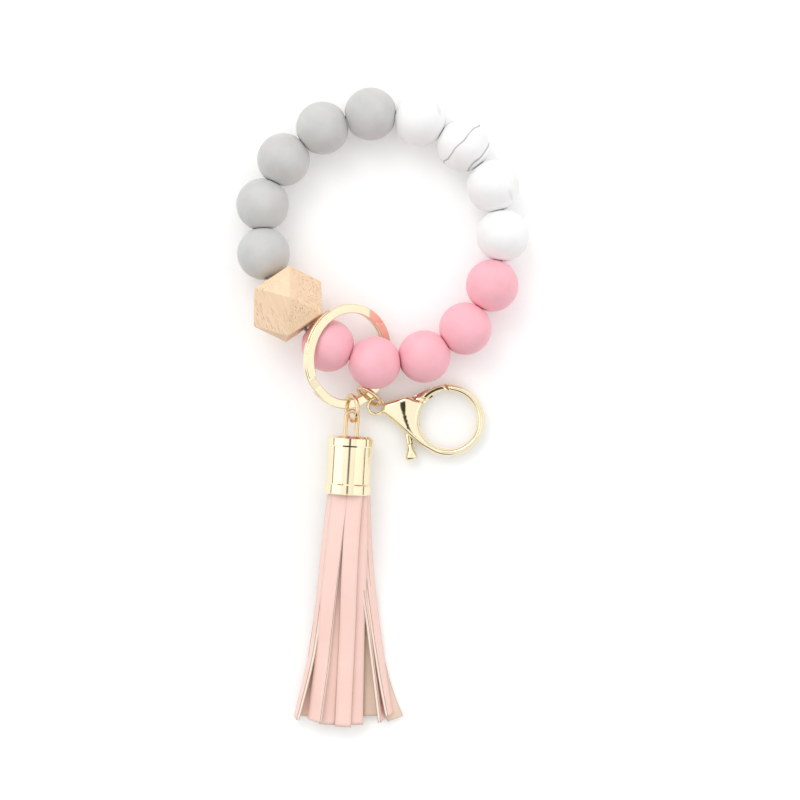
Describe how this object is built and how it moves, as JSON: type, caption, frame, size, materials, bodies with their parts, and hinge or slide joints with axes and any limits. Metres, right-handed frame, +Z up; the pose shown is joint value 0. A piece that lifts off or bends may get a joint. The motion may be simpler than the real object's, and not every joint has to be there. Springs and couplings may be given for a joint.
{
  "type": "wristlet keychain",
  "caption": "Bracelet of fifteen silicone and wood beads on an elastic cord, with a split key ring, a leather tassel and a gold trigger clasp.",
  "frame": {"origin": "middle of the wrist loop, on the surface that the keychain lies on", "axes": "+Z up from that surface, along the wrist loop's axis; -Y along the tassel; +X to the clasp's side"},
  "size_m": [0.0836, 0.1841, 0.0231],
  "materials": {
    "grey_silicone": "matte",
    "marble_silicone": "matte",
    "pink_silicone": "matte",
    "beech": "satin",
    "gold": "polished",
    "spring_steel": "satin",
    "peach_leather": "satin",
    "cord": "satin"
  },
  "bodies": {
    "strand": {"elastic_cord": "cord", "cord_knot": "cord"},
    "grey_bead_1": {"grey_bead_1": "grey_silicone"},
    "grey_bead_2": {"grey_bead_2": "grey_silicone"},
    "grey_bead_3": {"grey_bead_3": "grey_silicone"},
    "grey_bead_4": {"grey_bead_4": "grey_silicone"},
    "grey_bead_5": {"grey_bead_5": "grey_silicone"},
    "marble_bead_1": {"marble_bead_1": "marble_silicone"},
    "marble_bead_2": {"marble_bead_2": "marble_silicone"},
    "marble_bead_3": {"marble_bead_3": "marble_silicone"},
    "marble_bead_4": {"marble_bead_4": "marble_silicone"},
    "pink_bead_5": {"pink_bead_5": "pink_silicone"},
    "pink_bead_4": {"pink_bead_4": "pink_silicone"},
    "pink_bead_3": {"pink_bead_3": "pink_silicone"},
    "pink_bead_2": {"pink_bead_2": "pink_silicone"},
    "pink_bead_1": {"pink_bead_1": "pink_silicone"},
    "wood_bead": {"wood_bead": "beech"},
    "key_ring": {"key_ring": "gold"},
    "tassel_jump_ring": {"tassel_jump_ring": "gold"},
    "clasp_jump_ring": {"clasp_jump_ring": "gold"},
    "tassel": {"tassel_bail": "gold", "bail_washer": "gold", "tassel_cap": "gold", "fringe_header": "peach_leather"},
    "fringe": {"leather_strip_1": "peach_leather", "leather_strip_2": "peach_leather", "leather_strip_3": "peach_leather", "leather_strip_4": "peach_leather", "leather_strip_5": "peach_leather", "leather_strip_6": "peach_leather", "leather_strip_7": "peach_leather", "leather_strip_8": "peach_leather", "leather_strip_9": "peach_leather", "leather_strip_10": "peach_leather"},
    "clasp": {"clasp_body": "gold", "lever_pin": "gold", "lever_spring": "spring_steel"},
    "clasp_lever": {"clasp_lever": "gold"}
  },
  "joints": [
    {"name": "grey_bead_1_spin", "type": "hinge", "parent": "strand", "child": "grey_bead_1", "pos_m": [-0.03405, -0.0048, 0.0088], "axis": [-0.2418, 0.9535, -0.1797], "continuous": true},
    {"name": "grey_bead_2_spin", "type": "hinge", "parent": "strand", "child": "grey_bead_2", "pos_m": [-0.0344, 0.00925, 0.00775], "axis": [0.192, 0.9808, -0.0343], "continuous": true},
    {"name": "grey_bead_3_spin", "type": "hinge", "parent": "strand", "child": "grey_bead_3", "pos_m": [-0.02845, 0.02215, 0.0075], "axis": [0.6205, 0.7842, 0], "continuous": true},
    {"name": "grey_bead_4_spin", "type": "hinge", "parent": "strand", "child": "grey_bead_4", "pos_m": [-0.01735, 0.03115, 0.0075], "axis": [0.8958, 0.4445, 0], "continuous": true},
    {"name": "grey_bead_5_spin", "type": "hinge", "parent": "strand", "child": "grey_bead_5", "pos_m": [-0.00355, 0.0352, 0.0075], "axis": [0.994, 0.1097, 0], "continuous": true},
    {"name": "marble_bead_1_spin", "type": "hinge", "parent": "strand", "child": "marble_bead_1", "pos_m": [0.01055, 0.03355, 0.0075], "axis": [0.9416, -0.3368, 0], "continuous": true},
    {"name": "marble_bead_2_spin", "type": "hinge", "parent": "strand", "child": "marble_bead_2", "pos_m": [0.02295, 0.0262, 0.0075], "axis": [0.7496, -0.6618, 0], "continuous": true},
    {"name": "marble_bead_3_spin", "type": "hinge", "parent": "strand", "child": "marble_bead_3", "pos_m": [0.03145, 0.0145, 0.0075], "axis": [0.398, -0.9174, 0], "continuous": true},
    {"name": "marble_bead_4_spin", "type": "hinge", "parent": "strand", "child": "marble_bead_4", "pos_m": [0.0342, 0.00045, 0.0075], "axis": [-0.0276, -0.9996, 0], "continuous": true},
    {"name": "pink_bead_5_spin", "type": "hinge", "parent": "strand", "child": "pink_bead_5", "pos_m": [0.0312, -0.0138, 0.0075], "axis": [-0.3714, -0.9285, 0], "continuous": true},
    {"name": "pink_bead_4_spin", "type": "hinge", "parent": "strand", "child": "pink_bead_4", "pos_m": [0.0235, -0.02615, 0.00775], "axis": [-0.675, -0.737, 0.0344], "continuous": true},
    {"name": "pink_bead_3_spin", "type": "hinge", "parent": "strand", "child": "pink_bead_3", "pos_m": [0.01175, -0.03415, 0.0088], "axis": [-0.9272, -0.3587, 0.1083], "continuous": true},
    {"name": "pink_bead_2_spin", "type": "hinge", "parent": "strand", "child": "pink_bead_2", "pos_m": [-0.00235, -0.03595, 0.0104], "axis": [-0.9924, 0.1163, 0.0411], "continuous": true},
    {"name": "pink_bead_1_spin", "type": "hinge", "parent": "strand", "child": "pink_bead_1", "pos_m": [-0.01565, -0.03105, 0.0104], "axis": [-0.829, 0.555, 0.0685], "continuous": true},
    {"name": "wood_bead_spin", "type": "hinge", "parent": "strand", "child": "wood_bead", "pos_m": [-0.027, -0.01935, 0.0118], "axis": [-0.5692, 0.8216, -0.0322], "continuous": true},
    {"name": "key_ring_swing", "type": "hinge", "parent": "strand", "child": "key_ring", "pos_m": [-0.009, -0.0335, 0.0104], "axis": [0.9383, -0.3457, 0], "range_deg": [0, 30]},
    {"name": "tassel_jump_ring_swing", "type": "hinge", "parent": "key_ring", "child": "tassel_jump_ring", "pos_m": [-0.00845, -0.0473, 0.00688], "axis": [0.781, 0.2335, -0.5793], "range_deg": [-15, 15]},
    {"name": "clasp_jump_ring_swing", "type": "hinge", "parent": "key_ring", "child": "clasp_jump_ring", "pos_m": [-0.00439, -0.045, 0.00405], "axis": [0.6776, 0.5914, -0.4372], "range_deg": [-10, 15]},
    {"name": "tassel_swing", "type": "hinge", "parent": "tassel_jump_ring", "child": "tassel", "pos_m": [-0.009, -0.0525, 0.0069], "axis": [0.475, 0, 0.88], "range_deg": [-15, 20]},
    {"name": "fringe_bend", "type": "hinge", "parent": "tassel", "child": "fringe", "pos_m": [-0.01025, -0.07372, 0.00675], "axis": [0.9982, -0.0602, 0], "range_deg": [-10, 25], "stiffness_Nm_per_rad": 0.004},
    {"name": "clasp_swing", "type": "hinge", "parent": "clasp_jump_ring", "child": "clasp", "pos_m": [-0.00206, -0.04837, 0.0026], "axis": [0, 0, 1], "range_deg": [-26, 6]},
    {"name": "lever_press", "type": "hinge", "parent": "clasp", "child": "clasp_lever", "pos_m": [0.00746, -0.04918, 0.0026], "axis": [0, 0, 1], "range_deg": [-25, 0], "stiffness_Nm_per_rad": 0.02, "deforming": ["lever_spring"]}
  ]
}
